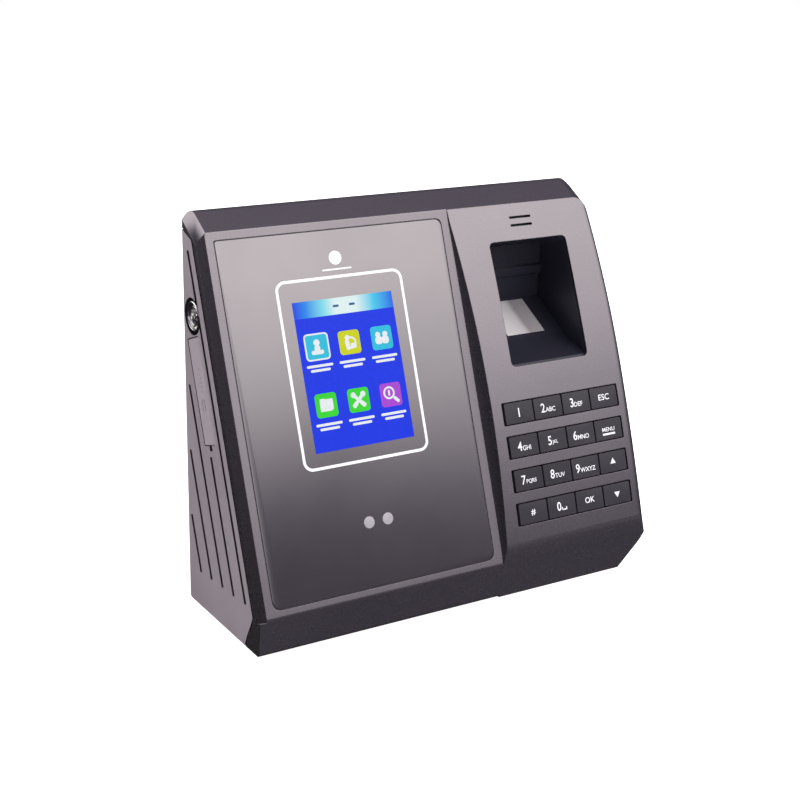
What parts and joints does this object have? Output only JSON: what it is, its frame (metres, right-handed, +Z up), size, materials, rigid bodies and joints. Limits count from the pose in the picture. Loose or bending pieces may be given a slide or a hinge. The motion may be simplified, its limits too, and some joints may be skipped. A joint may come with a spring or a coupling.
{
  "type": "fingerprint scanner terminal",
  "caption": "Wedge-shaped fingerprint terminal with a display window, a recessed optical finger sensor and a numeric keypad.",
  "frame": {"origin": "centre of the bounding box at the height of the flat underside", "axes": "+X to the right of a person facing the display, +Y towards the wall behind it, +Z up"},
  "size_m": [0.1806, 0.0674, 0.1589],
  "materials": {
    "front_cover_plastic": "satin painted ABS, gunmetal grey",
    "rear_shell_plastic": "satin moulded ABS, warm grey",
    "display_window_acrylic": "polished acrylic, printed smoke grey from behind",
    "bright_metal": "bright nickel plating",
    "lens_plastic": "clouded clear plastic",
    "key_plastic": "finely textured moulded plastic, charcoal",
    "silicone": "matt silicone",
    "circuit_board": "green solder mask",
    "well_plastic": "smooth black moulded plastic",
    "sensor_glass": "polished optical glass with a pale coating",
    "black_plastic": "moulded black plastic",
    "green_plastic": "moulded green nylon",
    "flap_rubber": "moulded soft rubber, warm grey",
    "sheet_steel": "zinc plated steel"
  },
  "bodies": {
    "casing": {"front_cover": "front_cover_plastic", "rear_shell": "rear_shell_plastic", "display_window": "display_window_acrylic", "display_module": "bright_metal", "status_lens_left": "lens_plastic", "status_lens_right": "lens_plastic", "keypad_mat": "silicone", "keypad_board": "circuit_board", "finger_well": "well_plastic", "sensor_prism": "sensor_glass", "sensor_board": "circuit_board", "speaker": "black_plastic", "main_board": "circuit_board", "wiring_socket": "green_plastic", "dc_jack": "bright_metal", "usb_port": "bright_metal", "case_screw_1": "sheet_steel", "case_screw_2": "sheet_steel", "case_screw_3": "sheet_steel", "case_screw_4": "sheet_steel", "wall_plate": "sheet_steel"},
    "key_1_body": {"key_1": "key_plastic"},
    "key_2_body": {"key_2": "key_plastic"},
    "key_3_body": {"key_3": "key_plastic"},
    "key_esc_body": {"key_esc": "key_plastic"},
    "key_4_body": {"key_4": "key_plastic"},
    "key_5_body": {"key_5": "key_plastic"},
    "key_6_body": {"key_6": "key_plastic"},
    "key_menu_body": {"key_menu": "key_plastic"},
    "key_7_body": {"key_7": "key_plastic"},
    "key_8_body": {"key_8": "key_plastic"},
    "key_9_body": {"key_9": "key_plastic"},
    "key_up_body": {"key_up": "key_plastic"},
    "key_hash_body": {"key_hash": "key_plastic"},
    "key_0_body": {"key_0": "key_plastic"},
    "key_ok_body": {"key_ok": "key_plastic"},
    "key_down_body": {"key_down": "key_plastic"},
    "port_flap_body": {"port_flap": "flap_rubber"}
  },
  "joints": [
    {"name": "key_1_press", "type": "slide", "parent": "casing", "child": "key_1_body", "axis": [0, 0.9511, -0.309], "range_m": [0, 0.001], "stiffness_N_per_m": 900, "springref_m": -0.0004},
    {"name": "key_2_press", "type": "slide", "parent": "casing", "child": "key_2_body", "axis": [0, 0.9511, -0.309], "range_m": [0, 0.001], "stiffness_N_per_m": 900, "springref_m": -0.0004},
    {"name": "key_3_press", "type": "slide", "parent": "casing", "child": "key_3_body", "axis": [0, 0.9511, -0.309], "range_m": [0, 0.001], "stiffness_N_per_m": 900, "springref_m": -0.0004},
    {"name": "key_esc_press", "type": "slide", "parent": "casing", "child": "key_esc_body", "axis": [0, 0.9511, -0.309], "range_m": [0, 0.001], "stiffness_N_per_m": 900, "springref_m": -0.0004},
    {"name": "key_4_press", "type": "slide", "parent": "casing", "child": "key_4_body", "axis": [0, 0.9511, -0.309], "range_m": [0, 0.001], "stiffness_N_per_m": 900, "springref_m": -0.0004},
    {"name": "key_5_press", "type": "slide", "parent": "casing", "child": "key_5_body", "axis": [0, 0.9511, -0.309], "range_m": [0, 0.001], "stiffness_N_per_m": 900, "springref_m": -0.0004},
    {"name": "key_6_press", "type": "slide", "parent": "casing", "child": "key_6_body", "axis": [0, 0.9511, -0.309], "range_m": [0, 0.001], "stiffness_N_per_m": 900, "springref_m": -0.0004},
    {"name": "key_menu_press", "type": "slide", "parent": "casing", "child": "key_menu_body", "axis": [0, 0.9511, -0.309], "range_m": [0, 0.001], "stiffness_N_per_m": 900, "springref_m": -0.0004},
    {"name": "key_7_press", "type": "slide", "parent": "casing", "child": "key_7_body", "axis": [0, 0.9511, -0.309], "range_m": [0, 0.001], "stiffness_N_per_m": 900, "springref_m": -0.0004},
    {"name": "key_8_press", "type": "slide", "parent": "casing", "child": "key_8_body", "axis": [0, 0.9511, -0.309], "range_m": [0, 0.001], "stiffness_N_per_m": 900, "springref_m": -0.0004},
    {"name": "key_9_press", "type": "slide", "parent": "casing", "child": "key_9_body", "axis": [0, 0.9511, -0.309], "range_m": [0, 0.001], "stiffness_N_per_m": 900, "springref_m": -0.0004},
    {"name": "key_up_press", "type": "slide", "parent": "casing", "child": "key_up_body", "axis": [0, 0.9511, -0.309], "range_m": [0, 0.001], "stiffness_N_per_m": 900, "springref_m": -0.0004},
    {"name": "key_hash_press", "type": "slide", "parent": "casing", "child": "key_hash_body", "axis": [0, 0.9511, -0.309], "range_m": [0, 0.001], "stiffness_N_per_m": 900, "springref_m": -0.0004},
    {"name": "key_0_press", "type": "slide", "parent": "casing", "child": "key_0_body", "axis": [0, 0.9511, -0.309], "range_m": [0, 0.001], "stiffness_N_per_m": 900, "springref_m": -0.0004},
    {"name": "key_ok_press", "type": "slide", "parent": "casing", "child": "key_ok_body", "axis": [0, 0.9511, -0.309], "range_m": [0, 0.001], "stiffness_N_per_m": 900, "springref_m": -0.0004},
    {"name": "key_down_press", "type": "slide", "parent": "casing", "child": "key_down_body", "axis": [0, 0.9511, -0.309], "range_m": [0, 0.001], "stiffness_N_per_m": 900, "springref_m": -0.0004},
    {"name": "port_flap_hinge", "type": "hinge", "parent": "casing", "child": "port_flap_body", "pos_m": [-0.08965, 0.01941, 0.11064], "axis": [0, 0.9511, -0.309], "range_deg": [0, 95], "stiffness_Nm_per_rad": 0.002, "springref_deg": -2.86}
  ]
}
